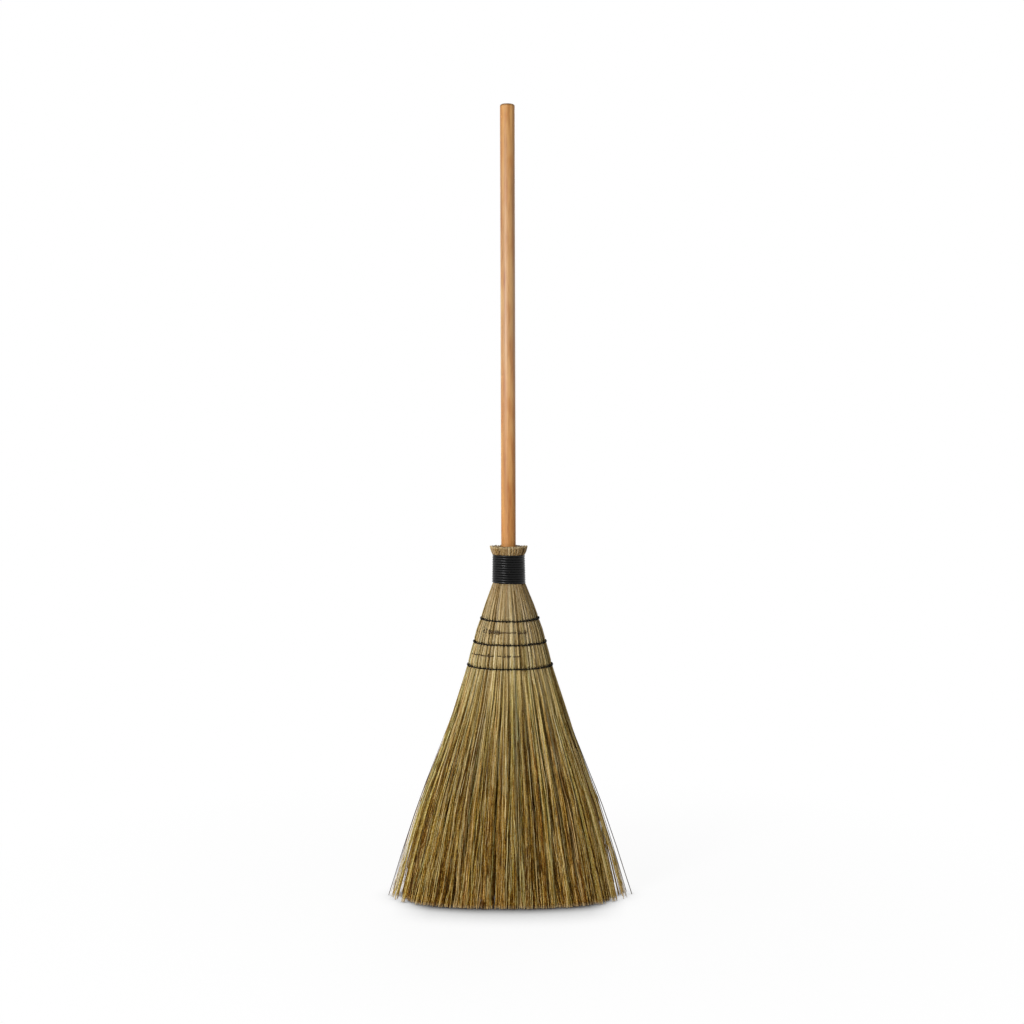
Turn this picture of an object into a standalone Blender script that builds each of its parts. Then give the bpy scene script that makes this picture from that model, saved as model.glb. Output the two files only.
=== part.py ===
"""Coconut broom: a round wooden handle with tied fibre bundles, a wound neck and sewn rows.

Metres, +Z up. The origin is on the floor under the middle of the sweep. The broom is 395 mm
wide along X, and its front faces -Y. Heights run down from the top of the neck winding, and
radii run out from the handle, so that each layer sits on the one inside it.
"""

import math
import random
from collections import namedtuple

import bmesh
import bpy
from mathutils import Vector

# Clearance between pieces that touch, how far a cutter runs past what it cuts, and how near the
# axis points are joined into one
SEAT_GAP = 0.0003
CUT_OVERRUN = 0.002
AXIS_TOLERANCE = 0.00001

# Handle: a dowel whose slim lower end sits inside the head
HANDLE_LENGTH = 0.890
HANDLE_DIAMETER = 0.024
HANDLE_TOP_ROUNDING = 0.003
HANDLE_POINT_DIAMETER = 0.014
HANDLE_POINT_LENGTH = 0.050
HANDLE_INSERTION = 0.157
HANDLE_SIDES = 32
ROUNDING_STEPS = 3

# Neck: two layers of bundles under a wound cord, with flared cut ends above it
NECK_TOP_HEIGHT = 0.566
NECK_TAPER = 0.0008
INNER_LAYER_THICKNESS = 0.0037
OUTER_LAYER_THICKNESS = 0.0046
COLLAR_LENGTH = 0.0135
COLLAR_FLARE = 0.0081
COLLAR_UNEVENNESS = 0.0022
COLLAR_SEED = 7

# Cord wound round the neck
WINDING_TURNS = 10
WINDING_CORD_DIAMETER = 0.00386
WINDING_TURN_GAP = 0.0005
WINDING_POINTS = 24

# Band and nails that hold the inner layer to the handle
BINDING_THICKNESS = 0.001
BINDING_WIDTH = 0.014
NAIL_DIAMETER = 0.0022
NAIL_HEAD_DIAMETER = 0.0044
NAIL_HEAD_THICKNESS = 0.0009
NAIL_POINT_LENGTH = 0.002
NAIL_DEPTH_IN_HANDLE = 0.0085
NAIL_DISTANCE_FROM_BINDING = 0.007
NAIL_SIDES = 12

# Head: how far each row lies below the one above, and the full width and depth there
SHOULDER_DROP = 0.007
SHOULDER_SWELL = 0.0073
ROW_1_DROP = 0.0577
ROW_SPACING = 0.0381
ROW_1_WIDTH = 0.0955
ROW_1_DEPTH = 0.0955
ROW_2_WIDTH = 0.1180
ROW_2_DEPTH = 0.1050
ROW_3_WIDTH = 0.1390
ROW_3_DEPTH = 0.1110
SLICE_DROP = 0.025
BUNDLE_SWELL = 0.0008
BUNDLE_LOBE = 0.0016
SEAM_SHARE = 0.6

# Sewn rows: each is one cord laid once round the head, its two ends side by side at the back
ROW_CORD_DIAMETER = 0.0024
THIN_CORD_DIAMETER = 0.0012
ROW_END_GAP = 0.0005
ROW_POINTS = 48
ROW_OVERLAP_STEPS = 1
ROW_HOLD_STEPS = 2
ROW_EASE_STEPS = 4

# Sweep: the free strands below the last row, cut flat on the floor
SWEEP_WIDTH = 0.395
SWEEP_DEPTH = 0.172
OUTER_BUNDLES = 26
OUTER_COLUMNS = 5
OUTER_STEPS = (2, 1)
INNER_BUNDLES = 8
INNER_COLUMNS = 4
INNER_STEPS = (3, 3)
BUNDLE_GAP = 0.0004
STRAND_MARGIN = 0.0006
STRAND_ROOT_DEPTH = 0.003
STRAND_TIP_DEPTH = 0.0045
OUTER_STRAND_SHARES = (0.60, 0.72)
INNER_STRAND_SHARES = (0.50, 0.50)
OUTER_TIP_SHARES = (1.0, 0.78)
INNER_TIP_SHARES = (0.56, 0.31)

FULL_TURN = 2 * math.pi
BACK_TURN = FULL_TURN / 4

# Radii of the neck, from the handle outwards. The middle of a flat side lies nearer to the axis than
# its corners, by the cosine of half a side, so a ring's corners are drawn out by that to clear what
# is inside it.
HANDLE_RADIUS = HANDLE_DIAMETER / 2
CORE_RADIUS = (HANDLE_RADIUS + SEAT_GAP) / math.cos(math.pi / (INNER_BUNDLES * INNER_STEPS[1]))
INNER_NECK_RADIUS = HANDLE_RADIUS + SEAT_GAP + INNER_LAYER_THICKNESS
BINDING_INNER_RADIUS = (INNER_NECK_RADIUS + SEAT_GAP) / math.cos(math.pi / HANDLE_SIDES)
BINDING_OUTER_RADIUS = BINDING_INNER_RADIUS + BINDING_THICKNESS
SEAM_CHORD_SHARE = math.cos(math.pi / OUTER_BUNDLES)
SEAM_NECK_RADIUS = (BINDING_OUTER_RADIUS + SEAT_GAP) / SEAM_CHORD_SHARE
NECK_RADIUS = SEAM_NECK_RADIUS + OUTER_LAYER_THICKNESS

# Heights above the floor
WINDING_PITCH = WINDING_CORD_DIAMETER + WINDING_TURN_GAP
NECK_BOTTOM_HEIGHT = NECK_TOP_HEIGHT - WINDING_CORD_DIAMETER - WINDING_TURNS * WINDING_PITCH
HANDLE_END_HEIGHT = NECK_TOP_HEIGHT - HANDLE_INSERTION
ROW_1_HEIGHT = NECK_BOTTOM_HEIGHT - ROW_1_DROP
ROW_2_HEIGHT = ROW_1_HEIGHT - ROW_SPACING
ROW_3_HEIGHT = ROW_2_HEIGHT - ROW_SPACING
SLICE_HEIGHT = ROW_3_HEIGHT - SLICE_DROP

# One height of the head. outer, seam and inner are half sizes along X and Y: of the outside, of
# the outer layer's inner face, and of the inner layer's outer face. A swollen level lies halfway
# between two rows, and only the outer layer has it.
Level = namedtuple("Level", "height outer seam inner lobe swollen")


def srgb(red, green, blue):
    """A colour seen in the photo, as the linear colour that a material takes."""
    shares = (red / 255, green / 255, blue / 255)
    linear = [c / 12.92 if c <= 0.04045 else ((c + 0.055) / 1.055) ** 2.4 for c in shares]
    return (*linear, 1.0)


def make_material(name, colour, roughness, metallic=0.0):
    material = bpy.data.materials.new(name)
    material.use_nodes = True
    shader = material.node_tree.nodes["Principled BSDF"]
    shader.inputs["Base Color"].default_value = colour
    shader.inputs["Roughness"].default_value = roughness
    shader.inputs["Metallic"].default_value = metallic
    material.diffuse_color = colour
    return material


def clear_scene():
    for old in list(bpy.data.objects):
        bpy.data.objects.remove(old, do_unlink=True)


def add_object(name, data, material, parent=None):
    piece = bpy.data.objects.new(name, data)
    data.materials.append(material)
    bpy.context.scene.collection.objects.link(piece)
    piece.parent = parent
    return piece


def mesh_from(builder, name, smooth_angle):
    """Closes the builder into a mesh whose faces point out and whose round faces shade smooth."""
    bmesh.ops.recalc_face_normals(builder, faces=builder.faces)
    mesh = bpy.data.meshes.new(name)
    builder.to_mesh(mesh)
    builder.free()
    mesh.shade_smooth()
    mesh.set_sharp_from_angle(angle=smooth_angle)
    return mesh


def turned_mesh(name, profile, sides):
    """Spins an outline of (radius, height) points round Z. It starts and ends on the axis, or closes."""
    builder = bmesh.new()
    points = [builder.verts.new((radius, 0, height)) for radius, height in profile]
    on_axis = profile[0][0] == 0
    pairs = list(zip(points, points[1:]))
    if not on_axis:
        pairs.append((points[-1], points[0]))
    edges = [builder.edges.new(pair) for pair in pairs]
    bmesh.ops.spin(
        builder,
        geom=points + edges,
        cent=(0, 0, 0),
        axis=(0, 0, 1),
        angle=FULL_TURN,
        steps=sides,
        use_merge=True,
    )
    if on_axis:
        centre = [vert for vert in builder.verts if vert.co.xy.length < AXIS_TOLERANCE]
        bmesh.ops.remove_doubles(builder, verts=centre, dist=AXIS_TOLERANCE)
    return mesh_from(builder, name, math.radians(35))


def handle_profile():
    top = HANDLE_LENGTH
    outline = [(0, top)]
    for step in range(ROUNDING_STEPS + 1):
        angle = math.pi / 2 * (1 - step / ROUNDING_STEPS)
        outline.append((
            HANDLE_RADIUS - HANDLE_TOP_ROUNDING * (1 - math.cos(angle)),
            top - HANDLE_TOP_ROUNDING * (1 - math.sin(angle)),
        ))
    outline.append((HANDLE_RADIUS, HANDLE_POINT_LENGTH))
    outline.append((HANDLE_POINT_DIAMETER / 2, 0))
    outline.append((0, 0))
    return outline


def make_handle(material):
    """The dowel. Its origin is the middle of its lower end, inside the head."""
    handle = add_object("handle", turned_mesh("handle", handle_profile(), HANDLE_SIDES), material)
    handle.location.z = HANDLE_END_HEIGHT
    return handle


def between(first, second, share):
    """The pair of half sizes that lies this share of the way from the first to the second."""
    return tuple(a + (b - a) * share for a, b in zip(first, second))


def grown(half_sizes, amount):
    return tuple(size + amount for size in half_sizes)


def seam_level(height, outer, lobe=0.0, swollen=False):
    """A level below the neck, where the two layers share the room between handle and outside."""
    seam = between((CORE_RADIUS, CORE_RADIUS), outer, SEAM_SHARE)
    inner = tuple(size * SEAM_CHORD_SHARE - SEAT_GAP for size in seam)
    return Level(height, outer, seam, inner, lobe, swollen)


def neck_level(height, radius):
    return Level(
        height,
        (radius, radius),
        (SEAM_NECK_RADIUS, SEAM_NECK_RADIUS),
        (INNER_NECK_RADIUS, INNER_NECK_RADIUS),
        0.0,
        False,
    )


def collar_level(height):
    """A level of the flared collar, whose faces keep one slope however high each bundle is cut."""
    top = seam_level(NECK_TOP_HEIGHT + COLLAR_LENGTH, (NECK_RADIUS + COLLAR_FLARE,) * 2)
    foot = neck_level(NECK_TOP_HEIGHT, NECK_RADIUS)
    share = (height - foot.height) / COLLAR_LENGTH
    sizes = [between(low, high, share) for low, high in zip(foot[1:4], top[1:4])]
    return Level(height, *sizes, 0.0, False)


def head_levels():
    """Every level from the neck down to the slice that the strands grow from."""
    row_1 = seam_level(ROW_1_HEIGHT, (ROW_1_WIDTH / 2, ROW_1_DEPTH / 2))
    row_2 = seam_level(ROW_2_HEIGHT, (ROW_2_WIDTH / 2, ROW_2_DEPTH / 2))
    row_3 = seam_level(ROW_3_HEIGHT, (ROW_3_WIDTH / 2, ROW_3_DEPTH / 2))
    swollen = [
        seam_level(
            (above.height + below.height) / 2,
            grown(between(above.outer, below.outer, 0.5), BUNDLE_SWELL),
            BUNDLE_LOBE,
            True,
        )
        for above, below in ((row_1, row_2), (row_2, row_3))
    ]
    shoulder_radius = NECK_RADIUS + NECK_TAPER + SHOULDER_SWELL
    return [
        neck_level(NECK_TOP_HEIGHT, NECK_RADIUS),
        neck_level(NECK_BOTTOM_HEIGHT, NECK_RADIUS + NECK_TAPER),
        seam_level(NECK_BOTTOM_HEIGHT - SHOULDER_DROP, (shoulder_radius,) * 2, BUNDLE_LOBE / 2),
        row_1,
        swollen[0],
        row_2,
        swollen[1],
        row_3,
        seam_level(
            SLICE_HEIGHT,
            between(row_3.outer, (SWEEP_WIDTH / 2, SWEEP_DEPTH / 2), SLICE_DROP / ROW_3_HEIGHT),
        ),
    ]


def outline_at(levels, height):
    """The half sizes of the head's outside at a height."""
    for above, below in zip(levels, levels[1:]):
        if above.height >= height >= below.height:
            share = (above.height - height) / (above.height - below.height)
            return between(above.outer, below.outer, share)
    raise ValueError("no level of the head reaches this height")


def on_ellipse(half_sizes, turn, height):
    return Vector((half_sizes[0] * math.cos(turn), half_sizes[1] * math.sin(turn), height))


def turn_across(half_sizes, span, share):
    """The turn that lies this share of the way across a bundle, inside half a gap at each side."""
    ends = []
    for turn, side in zip(span, (1, -1)):
        speed = math.hypot(half_sizes[0] * math.sin(turn), half_sizes[1] * math.cos(turn))
        ends.append(turn + side * BUNDLE_GAP / 2 / speed)
    return ends[0] + (ends[1] - ends[0]) * share


def point_row(builder, half_sizes, height, span, steps, lobe=0.0):
    """Points across a bundle, from one side to the other. A lobe draws in the sides."""
    row = []
    for step in range(steps + 1):
        share = step / steps
        sizes = grown(half_sizes, -lobe * abs(2 * share - 1))
        row.append(builder.verts.new(on_ellipse(sizes, turn_across(half_sizes, span, share), height)))
    return row


def strip(builder, upper, lower):
    """Triangles between two rows of points that run the same way, whatever their counts."""
    i = 0
    j = 0
    while i + 1 < len(upper) or j + 1 < len(lower):
        if (j + 1) / (len(lower) - 1) <= (i + 1) / (len(upper) - 1):
            builder.faces.new((upper[i], lower[j], lower[j + 1]))
            j += 1
        else:
            builder.faces.new((upper[i], lower[j], upper[i + 1]))
            i += 1


def skin(builder, upper, lower):
    """Joins two cross-sections, each a list of point rows from the outside in.

    Both bundles beside a seam split their facing sides along the same diagonal, so the gap
    between them stays even where the section turns from round to oval.
    """
    strip(builder, upper[0], lower[0])
    strip(builder, upper[-1], lower[-1])
    strip(builder, [row[0] for row in upper], [row[0] for row in lower])
    strip(builder, [row[-1] for row in upper], [row[-1] for row in lower])


def strand_corners(half_sizes, depth, height, span, column, columns, width_share):
    """Four corners of a strand's cross-section, whose outer edge lies on an ellipse."""
    start = (column + (1 - width_share) / 2) / columns
    end = (column + (1 + width_share) / 2) / columns
    inner = grown(half_sizes, -depth)
    corners = ((half_sizes, start), (half_sizes, end), (inner, end), (inner, start))
    return [on_ellipse(sizes, turn_across(half_sizes, span, share), height) for sizes, share in corners]


def grow_strand(builder, cell, root, tip):
    """One four-sided strand from a cell of the slice down to its flat cut end on the floor."""
    root = [builder.verts.new(corner) for corner in root]
    tip = [builder.verts.new(corner) for corner in tip]
    for ring, next_ring in ((cell, root), (root, tip)):
        for k in range(4):
            n = (k + 1) % 4
            builder.faces.new((ring[k], ring[n], next_ring[n], next_ring[k]))
    builder.faces.new(tip)


def bundle_mesh(name, sections, span, steps, columns, width_shares, tip_shares):
    """A bundle from its cut top to its tips.

    sections lists (height, outer half sizes, inner half sizes, lobe), top first. The last one
    is the slice, cut into cells that each grow a strand. steps counts the sides of the outer
    and of the inner face. width_shares give a strand's width at its root and at its tip, as
    shares of a cell. tip_shares give where each row of strands ends, as shares of the sweep.
    """
    builder = bmesh.new()
    rings = []
    for height, outer, inner, lobe in sections[:-1]:
        rings.append([
            point_row(builder, outer, height, span, steps[0], lobe),
            point_row(builder, inner, height, span, steps[1]),
        ])
    height, outer, inner, _ = sections[-1]
    rows = len(tip_shares)
    borders = [between(outer, inner, row / rows) for row in range(rows + 1)]
    grid = [point_row(builder, sizes, height, span, columns) for sizes in borders]
    rings.append(grid)
    for upper, lower in zip(rings, rings[1:]):
        skin(builder, upper, lower)
    builder.faces.new(rings[0][0] + rings[0][-1][::-1])
    for row, tip_share in enumerate(tip_shares):
        root_sizes = grown(borders[row], -STRAND_MARGIN)
        tip_sizes = (SWEEP_WIDTH / 2 * tip_share, SWEEP_DEPTH / 2 * tip_share)
        for column in range(columns):
            outer_row, inner_row = grid[row], grid[row + 1]
            cell = (outer_row[column], outer_row[column + 1], inner_row[column + 1], inner_row[column])
            place = (span, column, columns)
            root = strand_corners(root_sizes, STRAND_ROOT_DEPTH, height, *place, width_shares[0])
            tip = strand_corners(tip_sizes, STRAND_TIP_DEPTH, 0, *place, width_shares[1])
            grow_strand(builder, cell, root, tip)
    return mesh_from(builder, name, math.radians(40))


def cut_heights(count):
    """The heights that the bundles' tops are cut to, a little uneven, the same at each run."""
    chance = random.Random(COLLAR_SEED)
    top = NECK_TOP_HEIGHT + COLLAR_LENGTH
    return [top - COLLAR_UNEVENNESS * chance.random() for _ in range(count)]


def make_outer_bundles(levels, material, parent):
    for number, height in enumerate(cut_heights(OUTER_BUNDLES)):
        span = (FULL_TURN * number / OUTER_BUNDLES, FULL_TURN * (number + 1) / OUTER_BUNDLES)
        sections = [
            (level.height, level.outer, level.seam, level.lobe)
            for level in [collar_level(height)] + levels
        ]
        name = f"outer_bundle_{number + 1:02d}"
        mesh = bundle_mesh(
            name, sections, span, OUTER_STEPS, OUTER_COLUMNS, OUTER_STRAND_SHARES, OUTER_TIP_SHARES
        )
        add_object(name, mesh, material, parent)


def make_inner_bundles(levels, material, parent):
    """The first layer, laid on the handle."""
    core = (CORE_RADIUS, CORE_RADIUS)
    bundles = []
    for number, height in enumerate(cut_heights(INNER_BUNDLES)):
        span = (FULL_TURN * number / INNER_BUNDLES, FULL_TURN * (number + 1) / INNER_BUNDLES)
        sections = [
            (level.height, level.inner, core, 0.0)
            for level in [collar_level(height)] + levels
            if not level.swollen
        ]
        name = f"inner_bundle_{number + 1}"
        mesh = bundle_mesh(
            name, sections, span, INNER_STEPS, INNER_COLUMNS, INNER_STRAND_SHARES, INNER_TIP_SHARES
        )
        bundles.append(add_object(name, mesh, material, parent))
    return bundles


def make_inner_binding(material, parent):
    """The flat band round the inner layer, halfway up the neck."""
    half = BINDING_WIDTH / 2
    profile = [
        (BINDING_INNER_RADIUS, half),
        (BINDING_OUTER_RADIUS, half),
        (BINDING_OUTER_RADIUS, -half),
        (BINDING_INNER_RADIUS, -half),
    ]
    mesh = turned_mesh("inner_binding", profile, HANDLE_SIDES)
    binding = add_object("inner_binding", mesh, material, parent)
    binding.location.z = (NECK_TOP_HEIGHT + NECK_BOTTOM_HEIGHT) / 2
    return binding


def nail_profile(length):
    """A flat-headed nail along Z. Its origin is under the head, and it points down."""
    return [
        (0, NAIL_HEAD_THICKNESS),
        (NAIL_HEAD_DIAMETER / 2, NAIL_HEAD_THICKNESS),
        (NAIL_HEAD_DIAMETER / 2, 0),
        (NAIL_DIAMETER / 2, 0),
        (NAIL_DIAMETER / 2, NAIL_POINT_LENGTH - length),
        (0, -length),
    ]


def nail_hole_profile(length):
    radius = NAIL_DIAMETER / 2 + SEAT_GAP
    depth = length + SEAT_GAP
    return [(0, CUT_OVERRUN), (radius, CUT_OVERRUN), (radius, -depth), (0, -depth)]


def make_nails(material, handle, inner_bundles, binding):
    """Two nails on opposite sides, one above the binding and one below, each in its own hole.

    Each lies on the seam between two inner bundles, so both bundles and the handle are cut.
    """
    distance = BINDING_WIDTH / 2 + NAIL_DISTANCE_FROM_BINDING
    seat_radius = INNER_NECK_RADIUS + SEAT_GAP
    length = seat_radius - HANDLE_RADIUS + NAIL_DEPTH_IN_HANDLE
    for number, (turn, rise) in enumerate(((0, distance), (math.pi, -distance))):
        name = f"nail_{number + 1}"
        place = on_ellipse((seat_radius, seat_radius), turn, binding.location.z + rise)
        nail = add_object(name, turned_mesh(name, nail_profile(length), NAIL_SIDES), material)
        hole_mesh = turned_mesh(f"{name}_hole", nail_hole_profile(length), NAIL_SIDES)
        cutter = add_object(f"{name}_hole", hole_mesh, material)
        cutter.hide_render = True
        cutter.display_type = "WIRE"
        for piece in (nail, cutter):
            piece.location = place
            piece.rotation_euler = (0, math.pi / 2, turn)
        first = round(turn / FULL_TURN * INNER_BUNDLES)
        for cut in (handle, inner_bundles[first], inner_bundles[first - 1]):
            hole = cut.modifiers.new(cutter.name, "BOOLEAN")
            hole.operation = "DIFFERENCE"
            hole.object = cutter


def make_cord(name, points, diameter, resolution, material):
    """A cord of round section through the points, with flat closed ends."""
    curve = bpy.data.curves.new(name, "CURVE")
    curve.dimensions = "3D"
    curve.bevel_depth = diameter / 2
    curve.bevel_resolution = resolution
    curve.use_fill_caps = True
    spline = curve.splines.new("POLY")
    spline.points.add(len(points) - 1)
    for place, point in zip(spline.points, points):
        place.co = (*point, 1)
        place.radius = 1
    return add_object(name, curve, material)


def with_straight_ends(points, length):
    """Runs both ends on for a length, straight on from the points beside them."""
    first = points[0] + (points[0] - points[1]).normalized() * length
    last = points[-1] + (points[-1] - points[-2]).normalized() * length
    return [first] + points + [last]


def print_least_gap(name, points, diameter, turn_points):
    """Measures and prints how near the cord comes to itself, from half a turn away onwards."""
    places = []
    for point, following in zip(points, points[1:]):
        places += [point, (point + following) / 2]
    gap = min(
        (a - b).length - diameter
        for i, a in enumerate(places)
        for b in places[i + turn_points:]
    )
    print(f"{name}: least gap to itself {gap * 1000:.2f} mm")


def make_winding(material):
    """The cord wound down round the neck, in one piece, on the outer layer's surface."""
    radius = WINDING_CORD_DIAMETER / 2
    steps = WINDING_TURNS * WINDING_POINTS
    points = []
    for step in range(steps + 1):
        share = step / steps
        surface = NECK_RADIUS + NECK_TAPER * share
        path_radius = (surface + SEAT_GAP + radius) / math.cos(math.pi / WINDING_POINTS)
        height = NECK_TOP_HEIGHT - radius - WINDING_PITCH * step / WINDING_POINTS
        turn = BACK_TURN - FULL_TURN * step / WINDING_POINTS
        points.append(on_ellipse((path_radius, path_radius), turn, height))
    points = with_straight_ends(points, WINDING_CORD_DIAMETER)
    print_least_gap("neck_winding", points, WINDING_CORD_DIAMETER, WINDING_POINTS)
    return make_cord("neck_winding", points, WINDING_CORD_DIAMETER, 1, material)


def end_share(steps_from_end):
    """How far a sewn cord is moved aside near its end: 1 where it passes its other end, then less."""
    share = (ROW_HOLD_STEPS + ROW_EASE_STEPS - steps_from_end) / ROW_EASE_STEPS
    share = min(1, max(0, share))
    return share * share * (3 - 2 * share)


def steepest_lean(levels, height, reach):
    """How steeply the head's outside leans out or in within reach of a height."""
    above, here, below = (outline_at(levels, height + step * reach) for step in (1, 0, -1))
    changes = [b - a for a, b in zip(above + here, here + below)]
    return max(abs(change) / reach for change in changes)


def make_row(name, levels, height, diameter, resolution, material):
    """One sewn row: a cord once round the head. Its ends pass each other side by side at the back."""
    radius = diameter / 2
    lift = (diameter + ROW_END_GAP) / 2
    steps = ROW_POINTS + ROW_OVERLAP_STEPS
    stand_off = (radius + SEAT_GAP) * math.hypot(1, steepest_lean(levels, height, radius + lift))
    chord_share = math.cos(math.pi / ROW_POINTS)
    points = []
    for step in range(steps + 1):
        place = height + lift * (end_share(step) - end_share(steps - step))
        sizes = [size / chord_share for size in grown(outline_at(levels, place), stand_off)]
        turn = BACK_TURN + FULL_TURN * (step - ROW_OVERLAP_STEPS / 2) / ROW_POINTS
        points.append(on_ellipse(sizes, turn, place))
    points = with_straight_ends(points, diameter)
    print_least_gap(name, points, diameter, ROW_POINTS)
    return make_cord(name, points, diameter, resolution, material)


def make_rows(levels, black, natural):
    heights = (ROW_1_HEIGHT, ROW_2_HEIGHT, ROW_3_HEIGHT)
    for number, height in enumerate(heights):
        make_row(f"stitch_row_{number + 1}", levels, height, ROW_CORD_DIAMETER, 1, black)
    for number, (above, below) in enumerate(zip(heights, heights[1:])):
        middle = (above + below) / 2
        make_row(f"thin_row_{number + 1}", levels, middle, THIN_CORD_DIAMETER, 0, natural)


def make_broom():
    clear_scene()
    wood = make_material("handle_wood", srgb(203, 155, 106), 0.45)
    outer_fibre = make_material("outer_fibre", srgb(139, 121, 77), 0.7)
    inner_fibre = make_material("inner_fibre", srgb(120, 100, 56), 0.75)
    black_cord = make_material("black_cord", srgb(34, 34, 34), 0.5)
    natural_cord = make_material("natural_cord", srgb(112, 84, 48), 0.8)
    steel = make_material("nail_steel", srgb(150, 150, 148), 0.35, 1.0)

    levels = head_levels()
    handle = make_handle(wood)
    head = bpy.data.objects.new("head", None)
    bpy.context.scene.collection.objects.link(head)
    inner_bundles = make_inner_bundles(levels, inner_fibre, head)
    make_outer_bundles(levels, outer_fibre, head)
    binding = make_inner_binding(steel, head)
    make_nails(steel, handle, inner_bundles, binding)
    make_winding(black_cord)
    make_rows(levels, black_cord, natural_cord)


make_broom()
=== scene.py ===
import math

import bpy
import numpy as np
from mathutils import Matrix, Vector


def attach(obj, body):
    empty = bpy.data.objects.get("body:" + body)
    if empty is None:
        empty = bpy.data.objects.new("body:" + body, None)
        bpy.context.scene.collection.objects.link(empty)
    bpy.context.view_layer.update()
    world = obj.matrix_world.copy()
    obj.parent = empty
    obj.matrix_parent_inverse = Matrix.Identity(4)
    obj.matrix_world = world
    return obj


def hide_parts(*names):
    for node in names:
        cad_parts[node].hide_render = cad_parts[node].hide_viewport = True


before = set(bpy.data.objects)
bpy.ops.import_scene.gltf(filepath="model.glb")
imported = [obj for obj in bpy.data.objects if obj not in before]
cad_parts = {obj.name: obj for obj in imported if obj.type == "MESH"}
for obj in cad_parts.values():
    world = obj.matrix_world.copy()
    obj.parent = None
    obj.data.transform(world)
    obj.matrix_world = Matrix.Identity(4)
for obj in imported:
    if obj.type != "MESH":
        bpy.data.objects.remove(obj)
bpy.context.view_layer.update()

# All lengths are in metres, in the CAD model's frame: the broom stands on z = 0 and its front
# faces -Y. Angles round the head, called turns, go anticlockwise from +X.

FULL_TURN = 2 * math.pi
FRONT = -math.pi / 2
UP = np.array([0.0, 0.0, 1.0])

# Where random numbers start. Each piece of a kind adds its own number.
OUTER_SEED = 20
INNER_SEED = 70
COLLAR_SEED = 120
ROW_SEED = 220
THIN_ROW_SEED = 320
CLUMP_SEED = 420

# Heights
HANDLE_TOP = 1.299
HEAD_TOP = 0.580
NECK_TOP = 0.566
NECK_BOTTOM = 0.5185
ROW_HEIGHTS = (0.46084, 0.42254, 0.38404)
ROW_SAG = 0.0014
THIN_ROW_HEIGHTS = (0.4418, 0.4037)
LAST_ROW = ROW_HEIGHTS[-1]

# Outside of the head: height, half width, half depth. It is drawn in at the winding and rows.
OUTLINE = (
    (0.5800, 0.0314, 0.0314), (0.5769, 0.0309, 0.0309), (0.5715, 0.0294, 0.0294),
    (0.5685, 0.0283, 0.0283), (0.5655, 0.0266, 0.0266), (0.5630, 0.0238, 0.0238),
    (0.5570, 0.0228, 0.0228), (0.5250, 0.0228, 0.0228), (0.5205, 0.0252, 0.0252),
    (0.5170, 0.0276, 0.0274), (0.5133, 0.0292, 0.0290), (0.5067, 0.0318, 0.0315),
    (0.5001, 0.0344, 0.0340), (0.4902, 0.0383, 0.0379), (0.4802, 0.0419, 0.0415),
    (0.4703, 0.0453, 0.0449), (0.4655, 0.0470, 0.0466), (0.4608, 0.0474, 0.0470),
    (0.4560, 0.0500, 0.0490), (0.4418, 0.0551, 0.0515), (0.4275, 0.0590, 0.0528),
    (0.4227, 0.0590, 0.0522), (0.4179, 0.0617, 0.0538), (0.4037, 0.0657, 0.0552),
    (0.3895, 0.0692, 0.0560), (0.3846, 0.0692, 0.0552), (0.3795, 0.0719, 0.0568),
    (0.3000, 0.0966, 0.0625), (0.2410, 0.1162, 0.0668), (0.1608, 0.1414, 0.0738),
    (0.0804, 0.1600, 0.0810), (0.0, 0.1760, 0.0898),
)
# How square the outline is, by height: 2 is an ellipse
SQUARENESS = ((0.385, 2.0), (0.0, 2.45))
# How far the head's middle lies to the right of the handle's, by height
LEAN = (
    (0.580, 0.0002), (0.5185, 0.0004), (0.500, 0.0011), (0.461, 0.0018), (0.380, 0.0020),
    (0.330, 0.0021), (0.280, 0.0012), (0.240, 0.0007), (0.200, 0.0002), (0.0, -0.0012),
)

# How a fibre's own values change along it, by height
SHELL_THICKNESS = (
    (0.580, 0.0030), (0.5185, 0.0030), (0.506, 0.0050), (0.461, 0.0090), (0.423, 0.0120),
    (0.385, 0.0150), (0.0, 0.0300),
)
LOBE_DEPTH = (
    (0.580, 0.0004), (0.520, 0.0003), (0.506, 0.0012), (0.482, 0.0026), (0.461, 0.0042),
    (0.442, 0.0040), (0.423, 0.0046), (0.404, 0.0044), (0.385, 0.0050), (0.330, 0.0048),
    (0.220, 0.0022), (0.0, 0.0),
)
LOBE_WIDTH = (
    (0.580, 0.99), (0.520, 0.99), (0.506, 0.95), (0.461, 0.86), (0.442, 0.86), (0.423, 0.84),
    (0.404, 0.85), (0.385, 0.84), (0.330, 0.87), (0.220, 0.94), (0.100, 1.0), (0.0, 1.0),
)
CLUMPING = (
    (0.580, 0.3), (0.520, 0.4), (0.500, 0.6), (0.461, 0.4), (0.442, 0.45), (0.423, 0.4),
    (0.404, 0.45), (0.385, 0.4), (0.330, 0.75), (0.200, 1.0), (0.0, 0.9),
)
CLUMP_SINKING = (
    (0.580, 0.08), (0.520, 0.10), (0.461, 0.18), (0.385, 0.28), (0.300, 0.85), (0.150, 1.4),
    (0.050, 1.1), (0.015, 0.6), (0.0, 0.15),
)
LOOSENESS = (
    (0.580, 0.03), (0.461, 0.05), (0.385, 0.08), (0.300, 0.35), (0.150, 0.8), (0.0, 1.0),
)
FIBRE_GIRTH = (
    (0.580, 1.05), (0.506, 1.05), (0.461, 1.10), (0.385, 1.08), (0.250, 1.0), (0.100, 0.92),
    (0.0, 0.92),
)
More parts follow.
